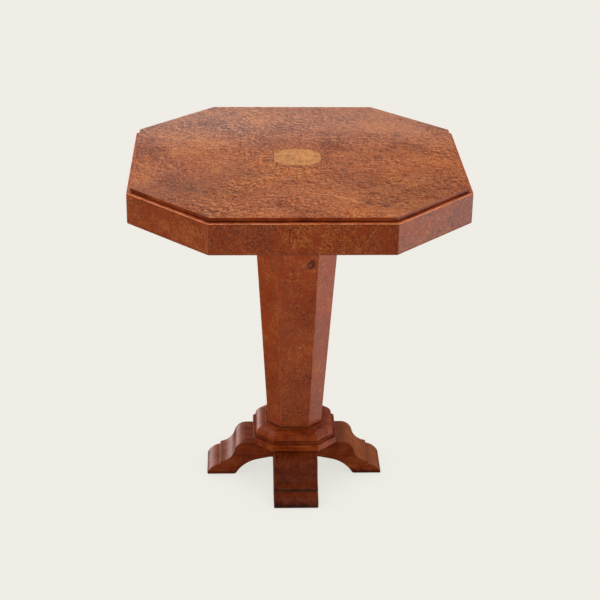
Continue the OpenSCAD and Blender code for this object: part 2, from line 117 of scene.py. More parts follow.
def canted_outline(half, cant, radius, arc=4, along=0):
    """A square with its corners cut off and each of the eight angles rounded in arc steps.
    along is the number of points added on each straight side."""
    s = half - cant
    corners = [Vector(c) for c in (
        (-s, -half), (s, -half), (half, -s), (half, s),
        (s, half), (-s, half), (-half, s), (-half, -s))]
    arcs = []
    for i, corner in enumerate(corners):
        back = (corners[i - 1] - corner).normalized()
        ahead = (corners[(i + 1) % 8] - corner).normalized()
        centre = corner + (back + ahead).normalized() * radius / math.cos(math.radians(MITRE_ANGLE))
        arm = corner + back * radius * MITRE - centre
        arcs.append([
            centre + Matrix.Rotation(math.radians(SIDE_TURN) * k / arc, 2) @ arm
            for k in range(arc + 1)])
    points = []
    for i, curve in enumerate(arcs):
        points += curve
        end, start = curve[-1], arcs[(i + 1) % 8][0]
        points += [end.lerp(start, (k + 1) / (along + 1)) for k in range(along)]
    return points


def ring(half, cant, z, radius, arc=4):
    return [(p.x, p.y, z) for p in canted_outline(half, cant, radius, arc)]


def loft(rings, closed=False):
    """Vertices and faces of a skin through rings of equally many points. It ends in two
    caps, or, closed, joins its last ring to its first."""
    n = len(rings[0])
    verts = [p for r in rings for p in r]
    faces = []
    for k in range(len(rings) if closed else len(rings) - 1):
        a, b = k * n, (k + 1) % len(rings) * n
        faces += [(a + i, a + (i + 1) % n, b + (i + 1) % n, b + i) for i in range(n)]
    if not closed:
        faces.append(tuple(reversed(range(n))))
        faces.append(tuple(range((len(rings) - 1) * n, len(rings) * n)))
    return verts, faces


def arc_points(centre, radius, start, end, steps):
    """Points on a circle from one angle to another, in degrees, both ends included."""
    angles = [math.radians(start + (end - start) * k / steps) for k in range(steps + 1)]
    return [(centre[0] + radius * math.cos(a), centre[1] + radius * math.sin(a)) for a in angles]


def strip(section, corner=0.0):
    """A mitred strip in the front side's place. section lists, round its outline, the
    distance from the axis, the height and the half-length there. Its outer face turns in
    towards each mitre on an arc of radius corner."""
    outermost = max(out for out, z, half in section)
    turns = (MITRE_ANGLE, MITRE_ANGLE / 2, 0) if corner else (MITRE_ANGLE,)
    stations = [(-1, turn) for turn in turns] + [(1, turn) for turn in reversed(turns)]
    rings = []
    for sign, turn in stations:
        angle = math.radians(turn)
        fall = corner * (1 - math.cos(angle))
        back = corner * (math.sin(math.radians(MITRE_ANGLE)) - math.sin(angle))
        points = []
        for out, z, half in section:
            sunk = max(0.0, fall - (outermost - out))
            mitred = sunk * MITRE if turn == MITRE_ANGLE else 0.0
            points.append((sign * (half - back - mitred), sunk - out, z))
        rings.append(points)
    return loft(rings)


def side_sizes(side, half, cant):
    """Distance from the axis and half-length of a canted square's side."""
    if side % 2 == 0:
        return half, half - cant
    return (2 * half - cant) / math.sqrt(2), cant / math.sqrt(2)


def prism(profile, low, high, axis):
    """A profile drawn as (distance, height), drawn out along x or y."""
    if axis == "x":
        return loft([[(x, a, z) for a, z in profile] for x in (low, high)])
    return loft([[(a, y, z) for a, z in profile] for y in (low, high)])


# ---------------------------------------------------------------- pieces

def piece(name, skin, body, nodes, materials, arris, segments, turn=0.0, shift=(0, 0, 0),
          rubbed=()):
    """A mesh piece that rides on a body and stands for CAD nodes. Its edges are rounded off
    to arris and take the second material, as do the faces whose numbers are in rubbed.
    turn is its angle about the axis, and shift says which part of the figure it shows."""
    mesh = bpy.data.meshes.new(name)
    mesh.from_pydata([tuple(v) for v in skin[0]], [], skin[1])
    bm = bmesh.new()
    bm.from_mesh(mesh)
    bmesh.ops.recalc_face_normals(bm, faces=bm.faces)
    bm.to_mesh(mesh)
    bm.free()
    mesh.shade_smooth()
    for material in materials:
        mesh.materials.append(material)
    for number in rubbed:
        mesh.polygons[number].material_index = 1
    figure = mesh.attributes.new("shift", "FLOAT_VECTOR", "POINT")
    for item in figure.data:
        item.vector = shift
    obj = bpy.data.objects.new(name, mesh)
    bpy.context.scene.collection.objects.link(obj)
    obj.rotation_euler = (0, 0, turn)
    bevel = obj.modifiers.new("arris", "BEVEL")
    bevel.width = arris
    bevel.segments = segments
    bevel.limit_method = "ANGLE"
    bevel.angle_limit = math.radians(SHARP)
    bevel.material = 1
    weighted = obj.modifiers.new("normals", "WEIGHTED_NORMAL")
    weighted.weight = 80
    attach(obj, body)
    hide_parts(*nodes)


# ---------------------------------------------------------------- material building

def rgba(colour):
    return (*colour, 1.0)


def scaled(colour, factor):
    return tuple(c * factor for c in colour)


class Nodes:
    """A node tree with short calls that add nodes to it."""

    def __init__(self, tree):
        self.tree = tree

    def feed(self, socket, value):
        if isinstance(value, bpy.types.NodeSocket):
            self.tree.links.new(value, socket)
        else:
            socket.default_value = value

    def add(self, kind, settings=None, **sockets):
        node = self.tree.nodes.new("ShaderNode" + kind)
        for key, value in (settings or {}).items():
            setattr(node, key, value)
        for key, value in sockets.items():
            self.feed(node.inputs[key.replace("_", " ")], value)
        return node

    def pair(self, kind, operation, a, b):
        """A node of two inputs that combines them by an operation."""
        node = self.add(kind, {"operation": operation})
        self.feed(node.inputs[0], a)
        self.feed(node.inputs[1], b)
        return node

    def value(self, operation, a, b=0.0):
        return self.pair("Math", operation, a, b).outputs[0]

    def vector(self, operation, a, b):
        return self.pair("VectorMath", operation, a, b).outputs["Vector"]

    def measure(self, operation, a, b):
        """A number worked out from two vectors."""
        return self.pair("VectorMath", operation, a, b).outputs["Value"]

    def axis(self, vector, name):
        return self.add("SeparateXYZ", None, Vector=vector).outputs[name]

    def band(self, value, low, high, out_low=0.0, out_high=1.0):
        """A smooth step from out_low at low to out_high at high."""
        node = self.add("MapRange", {"interpolation_type": "SMOOTHSTEP"}, Value=value,
                        From_Min=low, From_Max=high, To_Min=out_low, To_Max=out_high)
        return node.outputs[0]

    def mix(self, factor, a, b, mode="MIX"):
        node = self.add("Mix", {"data_type": "RGBA", "blend_type": mode})
        self.feed(node.inputs[0], factor)
        self.feed(node.inputs[6], a)
        self.feed(node.inputs[7], b)
        return node.outputs[2]

    def end(self, kind, factor, first, second):
        """The output of a material's or a world's tree: the first shader, or the second
        where factor is 1."""
        choose = self.add("MixShader")
        for socket, value in zip(choose.inputs, (factor, first, second)):
            self.feed(socket, value)
        self.add("Output" + kind, None, Surface=choose.outputs[0])


class Surface(Nodes):
    """A Principled material. place is the object's own coordinate moved by the piece's
    shift, and swirl, where it is set, the bent coordinate that the figure follows."""

    def __init__(self, name, **sockets):
        self.material = bpy.data.materials.new(name)
        self.material.use_nodes = True
        super().__init__(self.material.node_tree)
        self.shader = self.tree.nodes["Principled BSDF"]
        for key, value in sockets.items():
            self.shader.inputs[key.replace("_", " ")].default_value = value
        self.own = self.add("TexCoord").outputs["Object"]
        shift = self.add("Attribute", {"attribute_name": "shift"}).outputs["Vector"]
        self.place = self.vector("ADD", self.own, shift)

    def facing(self, name):
        """The surface normal's part along one axis."""
        return self.axis(self.add("NewGeometry").outputs["Normal"], name)

    def stretch(self, at, scales):
        return self.vector("MULTIPLY", at, scales)

    def noise(self, at, scale, detail=3.0, rough=0.55, distortion=0.0):
        return self.add("TexNoise", None, Vector=at, Scale=scale, Detail=detail,
                        Roughness=rough, Distortion=distortion).outputs[0]

    def streaks(self, at, along, long, cross, detail, rough):
        """Noise drawn out along x, y or z; long and cross are its scales along and across."""
        scales = tuple(long if axis == along else cross for axis in "xyz")
        return self.noise(self.stretch(at, scales), 1, detail, rough)

    def warp(self, at, scale, amount):
        """The coordinate, pushed about by coloured noise."""
        push = self.add("TexNoise", None, Vector=at, Scale=scale, Detail=2.0).outputs["Color"]
        push = self.vector("SUBTRACT", push, (0.5, 0.5, 0.5))
        return self.vector("ADD", at, self.stretch(push, (amount,) * 3))

    def cells(self, at, scale):
        return self.add("TexVoronoi", None, Vector=at, Scale=scale)

    def swing(self, value, times):
        """A value turned into ridges: up and down between 0 and 1, so many times over."""
        half = self.value("PINGPONG", self.value("MULTIPLY", value, times), 0.5)
        return self.value("MULTIPLY", half, 2.0)

    def ramp(self, value, *stops):
        node = self.add("ValToRGB", None, Fac=value)
        ramp = node.color_ramp
        while len(ramp.elements) < len(stops):
            ramp.elements.new(0.5)
        for element, (place, colour) in zip(ramp.elements, stops):
            element.position = place
            element.color = rgba(colour)
        return node.outputs["Color"]

    def near(self, point):
        """Distance of the figure's coordinate from a point."""
        return self.measure("DISTANCE", self.swirl, tuple(point))

    def tint(self, colour, factor, paint):
        return self.mix(factor, colour, rgba(paint))

    def darken(self, colour, share):
        return self.mix(1.0, colour, share, "MULTIPLY")

    def hairline(self, colour, line, paint):
        """A hair crack: part of a circle, given by its centre and radius, seen only within
        reach of a second point. Its width and strength come last."""
        centre, radius, middle, reach, width, strength = line
        off = self.value("ABSOLUTE", self.value("SUBTRACT", self.near(centre), radius))
        thread = self.band(off, 0.3 * width, width, strength, 0.0)
        within = self.band(self.near(middle), reach * 0.7, reach, 1.0, 0.0)
        return self.tint(colour, self.value("MULTIPLY", thread, within), paint)

    def crevice_shade(self, colour, reach, darkest):
        """Painted shade: the colour darkened in corners and joints, by ambient occlusion."""
        open_sky = self.add("AmbientOcclusion", {"samples": 6}, Distance=reach).outputs["AO"]
        return self.darken(colour, self.band(open_sky, 0.35, 0.90, darkest, 1.0))

    def plus(self, base, value, weight):
        return self.value("ADD", base, self.value("MULTIPLY", value, weight))

    def total(self, base, *terms):
        """base plus each (value - 0.5) times its weight."""
        result = base
        for value, weight in terms:
            centred = self.value("MULTIPLY", self.value("SUBTRACT", value, 0.5), weight)
            result = self.value("ADD", centred, result)
        return result

    def finish(self, colour, roughness, height, depth):
        self.feed(self.shader.inputs["Base Color"], colour)
        self.feed(self.shader.inputs["Roughness"], roughness)
        bump = self.add("Bump", None, Height=height, Strength=1.0, Distance=depth)
        self.feed(self.shader.inputs["Normal"], bump.outputs["Normal"])
        return self.material


# ---------------------------------------------------------------- burr veneer

BURL_DARK = (0.110, 0.013, 0.002)
BURL_DEEP = (0.260, 0.036, 0.006)
BURL_MID = (0.425, 0.074, 0.012)
BURL_LIGHT = (0.580, 0.128, 0.023)
BURL_PALE = (0.730, 0.220, 0.058)
BLUSH = (0.400, 0.085, 0.030)
BRUISE = (0.176, 0.0736, 0.064)
STAIN = (0.070, 0.020, 0.015)
RUDDY = (0.400, 0.052, 0.007)
ARRIS = (0.730, 0.245, 0.105)
RIDGE_HIGHLIGHT = (0.800, 0.390, 0.170)
KNOT = (0.040, 0.014, 0.010)
# how far apart the two samples lie that paint light and shade on the folds' flanks
RELIEF_LIGHT_STEP = 2.4 * MM


class Burl(Surface):
    """Burr veneer: cloudy patches, curling growth lines, flakes and specks. Its methods lay
    one feature after another on its colour and its height."""

    def __init__(self, name, tone, warm, gloss):
        super().__init__(name, Specular_IOR_Level=gloss)
        self.tone, self.warm, self.gloss = tone, warm, gloss
        self.swirl = self.warp(self.warp(self.place, 8, 0.045), 34, 0.011)
        self.patches = self.noise(self.swirl, 9, 4, 0.6)
        self.curls = self.swing(self.noise(self.swirl, 19, 3, 0.5), 13.0)
        self.flakes = self.noise(self.swirl, 110, 3, 0.6)
        self.specks = self.noise(self.stretch(self.place, (1.0, 0.55, 1.0)), 330, 3, 0.62)

    def hue(self, base, factor=1.0):
        red, green, blue = scaled(base, self.tone * factor)
        return red, green * self.warm, blue

    def drift(self, offset, scale, rough, low, high, amount):
        """Soft-edged islands, from another part of the noise."""
        elsewhere = self.noise(self.vector("ADD", self.swirl, offset), scale, 3, rough)
        return self.band(elsewhere, low, high, 0.0, amount)

    def figure(self, cloud, crisp, wrinkles):
        """The ground colour, from how light the growth is."""
        lines = self.noise(self.stretch(self.swirl, (1.0, 0.7, 0.35)), 700, 2, 0.5)
        self.level = self.total(
            0.5, (self.patches, 1.20 * cloud), (self.curls, 0.24 * cloud),
            (self.flakes, 0.5 * crisp + 0.2 * cloud), (self.specks, 1.9 * crisp), (lines, 1.0 * crisp))
        if wrinkles:
            # old polish drawn into fine folds, with painted light on one flank and painted shade on the
            # other
            lit_and_shaded_flanks = [self.noise(self.vector("ADD", self.swirl, (step * 0.6, step, 0.0)), 88, 4, 0.68)
                      for step in (RELIEF_LIGHT_STEP, -RELIEF_LIGHT_STEP)]
            flank_paint_strength = self.noise(self.swirl, 7, 3, 0.6)
            flank_paint_strength = self.band(flank_paint_strength, 0.38, 0.62, 0.7 * wrinkles, 2.3 * wrinkles)
            self.level = self.plus(self.level, self.value("SUBTRACT", *lit_and_shaded_flanks), flank_paint_strength)
        self.colour = self.ramp(
            self.level, (0.02, self.hue(BURL_DARK)), (0.30, self.hue(BURL_DEEP)),
            (0.50, self.hue(BURL_MID)), (0.72, self.hue(BURL_LIGHT)), (0.96, self.hue(BURL_PALE)))

    def drifts(self, ruddy, bruises):
        """Rosier growth, red flecks and greyer bruises."""
        blush = self.drift((5.0, 2.0, 1.0), 5.0, 0.6, 0.42, 0.60, 0.30)
        self.colour = self.tint(self.colour, blush, scaled(BLUSH, self.tone))
        if ruddy:
            fleck = self.drift((2.0, 7.0, 4.0), 46, 0.66, 0.46, 0.62, ruddy)
            self.colour = self.tint(self.colour, fleck, scaled(RUDDY, self.tone))
        bruise = self.band(self.noise(self.swirl, 5.5, 3, 0.6), 0.55, 0.72, 0.0, bruises)
        self.colour = self.tint(self.colour, bruise, scaled(BRUISE, self.tone))

    def eyes(self):
        """Small dark centres in clusters, each with a paler ring."""
        eyes = self.cells(self.swirl, 62)
        away = eyes.outputs["Distance"]
        pick = self.add("SeparateColor", None, Color=eyes.outputs["Color"]).outputs[0]
        cluster = self.band(self.noise(self.place, 11, 2, 0.5), 0.50, 0.62)
        chosen = self.value("MULTIPLY", self.band(pick, 0.52, 0.60), cluster)
        halo = self.value("MULTIPLY", self.band(away, 0.18, 0.40, 0.40, 0.0), chosen)
        self.colour = self.tint(self.colour, halo, self.hue(BURL_PALE, 0.9))
        core = self.value("MULTIPLY", self.band(away, 0.08, 0.19, 0.85, 0.0), chosen)
        self.colour = self.tint(self.colour, core, scaled(KNOT, 1.5))

    def pores(self):
        """The finest dark pricks, and with them the surface's relief."""
        prick = self.band(self.cells(self.place, 820).outputs["Distance"], 0.10, 0.26, 0.45, 0.0)
        self.colour = self.tint(self.colour, prick, self.hue(BURL_DARK, 0.8))
        self.height = self.total(0.5, (self.specks, 0.8), (self.flakes, 1.5), (self.curls, 0.10),
                                 (prick, -0.2))

    def folds(self, wrinkles):
        """Raised ridges of old polish with a painted highlight along their crests; the polish
        is handled away towards the front and hazy at the back."""
        fold = self.noise(self.stretch(self.swirl, (1.0, 0.6, 1.0)), 120, 2, 0.6, 0.8)
        fold = self.band(self.value("ABSOLUTE", self.value("SUBTRACT", fold, 0.5)), 0.0, 0.09, 1.0, 0.0)
        self.colour = self.tint(self.colour, self.value("MULTIPLY", fold, 0.20 * wrinkles), RIDGE_HIGHLIGHT)
        self.height = self.plus(self.height, fold, 0.55 * wrinkles)
        depth = self.total(self.axis(self.place, "Y"), (self.patches, 0.12))
        haze = self.value("MULTIPLY", self.band(depth, 0.02, 0.28, 0.10 * self.gloss, 1.05 * self.gloss),
                          self.band(self.level, 0.15, 0.80, 0.5, 1.5))
        self.feed(self.shader.inputs["Specular IOR Level"], haze)

    def mark(self, point, radius, strength):
        spread = self.value("MULTIPLY", self.band(self.near(point), radius * 0.2, radius, strength, 0.0),
                            self.band(self.flakes, 0.40, 0.56, 0.50, 1.0))
        self.colour = self.tint(self.colour, spread, STAIN)

    def knot(self, point, radius):
        away = self.near(point)
        rim = self.band(away, radius * 0.60, radius, 1.0, 0.0)
        broken = self.band(self.flakes, 0.40, 0.52, 0.55, 0.95)
        self.colour = self.tint(self.colour, self.value("MULTIPLY", rim, broken), KNOT)
        heart = self.band(away, radius * 0.30, radius * 0.52, 0.9, 0.0)
        self.colour = self.tint(self.colour, heart, self.hue(BURL_MID, 0.9))
        self.height = self.plus(self.height, rim, -0.5)

    def blister(self, point, radius, strength):
        swell = self.band(self.near(point), radius * 0.3, radius, strength, 0.0)
        bubble = self.total(0.0, (self.noise(self.swirl, 150, 2, 0.5), 4.0))
        self.height = self.plus(self.height, bubble, swell)

    def fade(self, low, high, below, above):
        """One tone below a height and another above, its border uneven."""
        height = self.total(self.axis(self.own, "Z"), (self.patches, 0.2))
        self.colour = self.darken(self.colour, self.band(height, low, high, below, above))


def burl(name, tone=1.0, warm=1.0, cloud=1.0, crisp=1.0, bruises=0.35, polish=0.36, relief=0.9,
         gloss=0.5, wrinkles=0.0, ruddy=0.0, marks=(), knots=(), blisters=(), cracks=(), fades=(),
         edge=False):
    """A burr veneer. tone scales its colours and warm their green part; cloud and crisp
    weigh its broad and its fine figure. wrinkles is the strength of the old polish's folds,
    of the painted light and shade on their flanks and of the painted highlight on their
    crests, and ruddy that of red flecks. marks are dark spots and blisters raised ones, both
    (point, radius, strength); knots are (point, radius); cracks are as hairline takes
    them, drawn as pale lines that are a painted highlight on their lifted edges; each of
    fades is (low, high, tone below, tone above), by height. edge is for a rubbed arris."""
    s = Burl(name, tone, warm, gloss)
    s.figure(cloud, crisp, wrinkles)
    s.drifts(ruddy, bruises)
    s.eyes()
    s.pores()
    if wrinkles:
        s.folds(wrinkles)
    for entry in marks:
        s.mark(*entry)
    for entry in knots:
        s.knot(*entry)
    for entry in blisters:
        s.blister(*entry)
    # the cracks are drawn as pale lines, a painted highlight on their lifted edges
    for line in cracks:
        s.colour = s.hairline(s.colour, line, RIDGE_HIGHLIGHT)
    for entry in fades:
        s.fade(*entry)
    roughness = s.total(polish, (s.patches, 0.25), (s.specks, 0.30))
    if edge:
        rub = s.band(s.noise(s.place, 42, 3, 0.6), 0.36, 0.56, 0.25, 0.95)
        s.colour = s.tint(s.colour, rub, scaled(ARRIS, tone))
        roughness = s.total(0.48, (s.specks, 0.3))
    # painted shade in corners and joints
    return s.finish(s.crevice_shade(s.colour, 0.006, 0.35), roughness, s.height, relief * MM)


# ---------------------------------------------------------------- mahogany

RED_DARK = (0.045, 0.0055, 0.0012)
RED_DEEP = (0.115, 0.0160, 0.0032)
RED_MID = (0.190, 0.0310, 0.0062)
RED_LIGHT = (0.290, 0.0620, 0.0140)
RED_LIT_TOP = (0.370, 0.1100, 0.0320)
POLISH_LEVEL = 0.26
DULL_LEVEL = 0.02


def painted_top_light(s, blotch, amount):
    """Painted light: how much paler the upper faces towards +x are drawn, where a warm light from the
    upper right falls on them.
    """
    upper = s.band(s.facing("Z"), 0.15, 0.60, 0.0, amount)
    lit_share = s.value("MULTIPLY", upper, s.band(s.axis(s.place, "X"), 0.0, 0.10))
    return s.value("MULTIPLY", lit_share, s.band(blotch, 0.35, 0.60, 0.6, 1.0))


def step_shade_line(s, along, step):
    """Painted shade: a dark line this far out along the grain, where the toe steps down, but not on the
    sides.
    """
    out = s.value("ABSOLUTE", s.axis(s.own, along.upper()))
    gap = s.value("ABSOLUTE", s.value("SUBTRACT", out, step))
    aside = s.value("ABSOLUTE", s.facing("Y" if along == "x" else "X"))
    line = s.band(gap, 0.5 * MM, 1.5 * MM, 0.8, 0.0)
    return s.value("MULTIPLY", line, s.band(aside, 0.3, 0.6, 1.0, 0.0))


def mahogany(name, along, tone=1.0, polish=0.22, gloss=POLISH_LEVEL, edge=False, worn=1.0,
             near_floor=False, cracks=(), lit_tops=0.0, step=0.0):
    """Stained mahogany: ribbon figure, drawn-out grain, dark pores. along is the axis of
    the grain: x, y or z. edge is for a rubbed arris and worn its paleness. scuffs makes
    the wood darker towards the floor and leaves its undersides unpolished; faded is the
    strength of painted light on its upper faces towards +x, and step is how far out a
    painted shade line lies in a step."""
    s = Surface(name, Specular_IOR_Level=gloss)
    bent = s.swirl = s.warp(s.place, 6, 0.022)
    ribbon = s.streaks(bent, along, 5, 30, 3, 0.5)
    grain = s.streaks(bent, along, 16, 190, 4, 0.6)
    fibre = s.streaks(bent, along, 60, 900, 2, 0.55)
    blotch = s.noise(bent, 13, 4, 0.62)
    stain = s.noise(bent, 48, 3, 0.6)
    level = s.total(0.5, (ribbon, 0.30), (grain, 0.65), (fibre, 0.6), (blotch, 0.60), (stain, 0.75))
    colour = s.ramp(level, (0.05, scaled(RED_DARK, tone)), (0.33, scaled(RED_DEEP, tone)),
                    (0.55, scaled(RED_MID, tone)), (0.92, scaled(RED_LIGHT, tone)))
    pit = s.band(s.streaks(bent, along, 95, 1900, 1, 0.4), 0.60, 0.70, 0.0, 0.7)
    colour = s.tint(colour, pit, scaled(RED_DARK, 0.7))
    dings = s.band(s.cells(bent, 38).outputs["Distance"], 0.03, 0.10, 0.55, 0.0)
    colour = s.tint(colour, dings, scaled(RED_DARK, 0.9))
    roughness = s.total(polish, (blotch, 0.15), (fibre, 0.15))
    # painted light on the upper faces towards +x
    if lit_tops:
        colour = s.tint(colour, painted_top_light(s, blotch, lit_tops), RED_LIT_TOP)
    for line in cracks:
        colour = s.hairline(colour, line, scaled(RED_DARK, 0.4))
    # painted shade: a dark line along the toe's step
    if step:
        colour = s.tint(colour, step_shade_line(s, along, step), scaled(RED_DARK, 0.5))
    # darker towards the floor; the undersides without polish
    if near_floor:
        height = s.total(s.axis(s.place, "Z"), (stain, 0.012), (blotch, 0.010))
        colour = s.darken(colour, s.band(height, 2 * MM, 15 * MM, 0.32, 1.0))
        dulled = s.band(s.facing("Z"), -0.45, -0.15, DULL_LEVEL, gloss)
        s.feed(s.shader.inputs["Specular IOR Level"], dulled)
    if edge:
        rub = s.band(s.noise(s.place, 55, 3, 0.6), 0.40, 0.62, 0.05, 0.85)
        colour = s.tint(colour, rub, scaled(RED_LIGHT, worn * tone))
        roughness = s.total(0.42, (stain, 0.4))
    relief = s.total(0.5, (grain, 0.4), (fibre, 0.3), (pit, -0.6), (ribbon, 0.5), (blotch, 0.7))
    # painted shade in corners and joints
    return s.finish(s.crevice_shade(colour, 0.005, 0.45), roughness, relief, 0.20 * MM)


# ---------------------------------------------------------------- other materials

def raw_wood(name, along, dark, light):
    """Unpolished inner wood: growth bands, fine fibre, age and dust."""
    s = Surface(name, Specular_IOR_Level=0.35)
    bent = s.warp(s.place, 5, 0.03)
    rings = s.swing(s.streaks(bent, along, 3, 60, 2, 0.5), 9.0)
    fibre = s.streaks(bent, along, 30, 700, 3, 0.6)
    age = s.noise(bent, 14, 4, 0.65)
    level = s.total(0.5, (rings, 0.30), (fibre, 0.9), (age, 0.7))
    colour = s.ramp(level, (0.1, scaled(dark, 0.6)), (0.42, dark), (0.75, light),
                    (1.0, scaled(light, 1.15)))
    colour = s.tint(colour, s.band(age, 0.52, 0.72, 0.0, 0.4), scaled(dark, 0.35))
    roughness = s.total(0.62, (fibre, 0.3), (age, 0.2))
    height = s.total(0.5, (fibre, 0.9), (rings, 0.25), (age, 0.6))
    return s.finish(colour, roughness, height, 0.22 * MM)


def inlay_wood(name):
    """The medallion: a pale, densely specked veneer."""
    s = Surface(name, Specular_IOR_Level=0.5)
    swirl = s.warp(s.place, 30, 0.012)
    specks = s.noise(s.place, 360, 3, 0.65)
    flecks = s.noise(s.stretch(swirl, (1.0, 0.4, 1.0)), 170, 3, 0.6)
    cloud = s.noise(swirl, 28, 3, 0.6)
    level = s.total(0.5, (specks, 2.0), (flecks, 1.9), (cloud, 1.2))
    colour = s.ramp(level, (0.08, (0.34, 0.095, 0.018)), (0.38, (0.58, 0.195, 0.036)),
                    (0.62, (0.74, 0.270, 0.052)), (0.95, (0.86, 0.390, 0.095)))
    pores = s.band(s.cells(s.place, 700).outputs["Distance"], 0.10, 0.25, 0.5, 0.0)
    colour = s.tint(colour, pores, (0.26, 0.10, 0.04))
    roughness = s.total(0.38, (cloud, 0.2), (specks, 0.25))
    height = s.total(0.5, (specks, 0.6), (pores, -0.5), (cloud, 0.6))
    return s.finish(colour, roughness, height, 0.18 * MM)


def old_metal(name, base, tarnish, roughness, amount):
    """Handled metal: tarnish in drifts, fine scratches and pitting."""
    s = Surface(name, Metallic=1.0)
    drift = s.noise(s.warp(s.place, 60, 0.01), 90, 4, 0.65)
    fine = s.noise(s.place, 900, 3, 0.6)
    scratch = s.streaks(s.place, "x", 90, 1400, 2, 0.5)
    cover = s.band(drift, 0.40, 0.66, 0.12, amount)
    colour = s.mix(cover, rgba(base), rgba(tarnish))
    colour = s.tint(colour, s.band(fine, 0.52, 0.70, 0.0, 0.45), scaled(tarnish, 0.6))
    rough = s.total(roughness, (drift, 0.5), (fine, 0.3), (scratch, 0.25))
    height = s.total(0.5, (fine, 0.6), (scratch, 0.4), (drift, 0.6))
    return s.finish(colour, rough, height, 0.12 * MM)


# ---------------------------------------------------------------- the table's materials

def on_top(x, y):
    return Vector((x, y, VENEER_HI.z))


def side_shift(side, group):
    """Each side, in each group of sheets or rails, shows another part of the figure."""
    return Vector((0.83 * side + 3.1 * group, 0.37 * group, 0.61 * side))


APRON_GROUP, RAIL_GROUP, COLUMN_GROUP = 1, 2, 3

# where the wood has its own features, in the forms that burl and hairline take
TOP_MARKS = (
    (on_top(-0.213, -0.185), 0.024, 0.70), (on_top(-0.240, -0.170), 0.018, 0.50),
    (on_top(-0.185, -0.200), 0.018, 0.50), (on_top(-0.223, 0.128), 0.014, 0.65),
    (on_top(0.264, 0.176), 0.016, 0.75), (on_top(0.211, 0.143), 0.014, 0.70),
    (on_top(0.170, -0.002), 0.020, 0.60), (on_top(0.130, -0.259), 0.014, 0.60),
    (on_top(0.158, -0.265), 0.016, 0.60), (on_top(0.062, 0.029), 0.013, 0.60),
    (on_top(-0.056, -0.020), 0.012, 0.60), (on_top(-0.036, -0.067), 0.016, 0.45),
    (on_top(0.235, -0.120), 0.014, 0.40),
    # broad darker clouds
    (on_top(-0.215, -0.175), 0.110, 0.24), (on_top(0.215, -0.200), 0.150, 0.32),
    (on_top(-0.110, -0.095), 0.070, 0.20), (on_top(0.100, -0.150), 0.080, 0.18),
    (on_top(-0.075, 0.090), 0.060, 0.14),
)
TOP_BLISTERS = (
    (on_top(-0.192, 0.235), 0.045, 1.0), (on_top(-0.160, 0.165), 0.040, 1.0),
    (on_top(-0.110, 0.240), 0.035, 0.7), (on_top(0.235, 0.165), 0.050, 0.8),
    (on_top(0.150, 0.250), 0.035, 0.7),
)
TOP_CRACKS = (
    (on_top(0.020, -0.300), 0.098, on_top(0.075, -0.222), 0.055, 2.6 * MM, 0.9),
    (on_top(-0.050, -0.330), 0.110, on_top(-0.020, -0.235), 0.050, 2.0 * MM, 0.5),
)
COLUMN_KNOTS = (
    (Vector((0.034, -0.0828, 0.523)) + side_shift(0, COLUMN_GROUP), 0.0125),
    (Vector((0.021, -0.083, 0.517)) + side_shift(0, COLUMN_GROUP), 0.0055),
)
# paler towards the top: painted light where the table top shades the column; darker towards the bottom
COLUMN_TONES_AND_LIGHT = ((0.10, 0.40, 0.80, 1.0), (0.34, 0.52, 1.0, 1.20))  # darker low, paler high
FOOT_CRACKS = (
    (Vector((-0.032, -0.119, 0.076)), 0.0095, Vector((-0.041, -0.119, 0.076)), 0.012, 1.4 * MM, 0.9),
)
# dark and light growth
PINE = (0.30, 0.17, 0.075), (0.46, 0.30, 0.15)
BEECH = (0.34, 0.19, 0.095), (0.50, 0.32, 0.18)

burl_top = burl("burl_top_face", tone=1.07, warm=1.14, cloud=1.35, crisp=0.75, bruises=0.14,
                polish=0.33, relief=1.1, gloss=0.42, wrinkles=1.2, marks=TOP_MARKS,
                blisters=TOP_BLISTERS, cracks=TOP_CRACKS)
burl_top_edge = burl("burl_top_arris", tone=0.9, warm=1.1, edge=True)
burl_side = burl("burl_side_face", tone=0.96, warm=1.07, cloud=1.1, crisp=0.95, bruises=0.12,
                 relief=0.4, ruddy=0.75)
burl_side_edge = burl("burl_side_arris", tone=1.55, warm=1.25, edge=True)
burl_column = burl("burl_column_face", tone=1.08, warm=1.02, cloud=0.6, crisp=0.6, bruises=0.1,
                   relief=0.4, ruddy=0.8, knots=COLUMN_KNOTS, fades=COLUMN_TONES_AND_LIGHT)
burl_column_edge = burl("burl_column_arris", tone=1.0, edge=True)
inlay = inlay_wood("inlay_face")
board_edge = mahogany("board_edge_face", "x", tone=1.75)
board_edge_worn = mahogany("board_edge_arris", "x", tone=1.1, edge=True)
rail_wood = mahogany("rail_face", "x", tone=1.1, polish=0.5)
# worn arrises; the ledge face is paler from wear and from painted light where it faces up
rail_worn_and_lit = mahogany("rail_arris_and_lit_ledge", "x", tone=2.5, edge=True)
collar_wood = mahogany("collar_face", "x", tone=1.92, gloss=0.15)
collar_worn = mahogany("collar_arris", "x", tone=1.4, gloss=0.15, edge=True)
